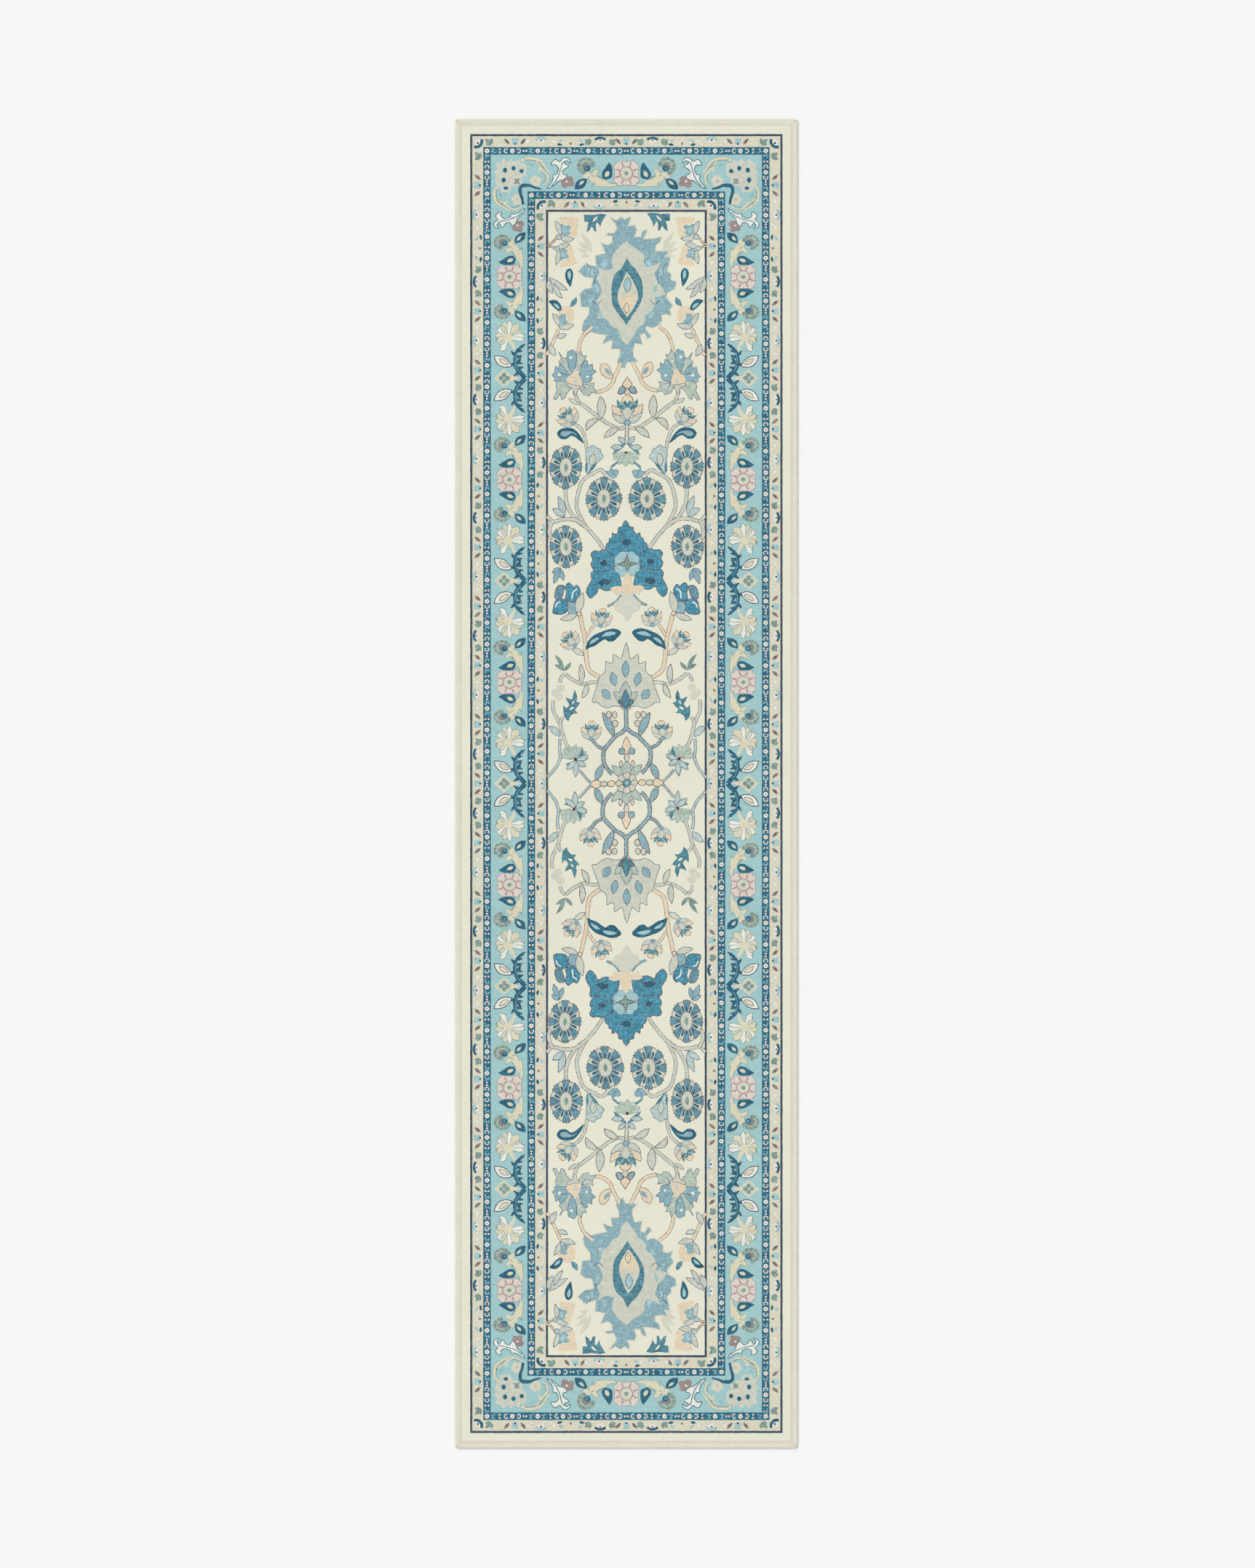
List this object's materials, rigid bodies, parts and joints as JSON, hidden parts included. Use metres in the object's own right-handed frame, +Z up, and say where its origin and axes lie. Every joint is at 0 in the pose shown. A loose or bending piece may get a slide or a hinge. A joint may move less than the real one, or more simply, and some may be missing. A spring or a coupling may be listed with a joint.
{
  "type": "runner rug",
  "caption": "Long narrow runner rug with a low patterned pile in concentric bands, felt-backed, tape-bound on all edges, with grip beads underneath.",
  "frame": {"origin": "on the floor, at the centre of the rug's length and width, at the foot of the grip beads", "axes": "+Z up out of the pile, +Y along the rug's length towards its head end, +X across it to the right"},
  "size_m": [0.762, 2.958, 0.0066],
  "materials": {
    "binding_tape": "matte cotton twill tape, beige",
    "seam_thread": "spun polyester thread, cream",
    "felt": "needled felt, grey",
    "latex": "latex coat, dull",
    "ground_weave": "plain-woven ground cloth, unbleached",
    "grip_bead": "soft silicone bead, translucent grey",
    "label_satin": "satin ribbon, white, blank",
    "pile_ivory": "low pile, ivory",
    "pile_line": "low pile, slate flecked with plum",
    "pile_sand": "low pile, sand",
    "pile_teal": "low pile, deep teal",
    "pile_sky": "low pile, pale sky blue"
  },
  "bodies": {
    "root": {"grip_beads": "grip_bead", "felt_backing": "felt", "latex_coat": "latex", "ground_weave": "ground_weave", "margin_pile": "pile_ivory", "outer_line_pile": "pile_line", "outer_guard_pile": "pile_sand", "outer_stripe_pile": "pile_teal", "main_border_pile": "pile_sky", "inner_stripe_pile": "pile_teal", "inner_guard_pile": "pile_sand", "inner_line_pile": "pile_line", "field_pile": "pile_ivory", "binding_left": "binding_tape", "binding_right": "binding_tape", "binding_head": "binding_tape", "binding_foot": "binding_tape", "seam_thread_left": "seam_thread", "seam_thread_right": "seam_thread", "seam_thread_head": "seam_thread", "seam_thread_foot": "seam_thread", "corner_tacks": "seam_thread", "care_label": "label_satin", "label_thread": "seam_thread"}
  },
  "joints": []
}
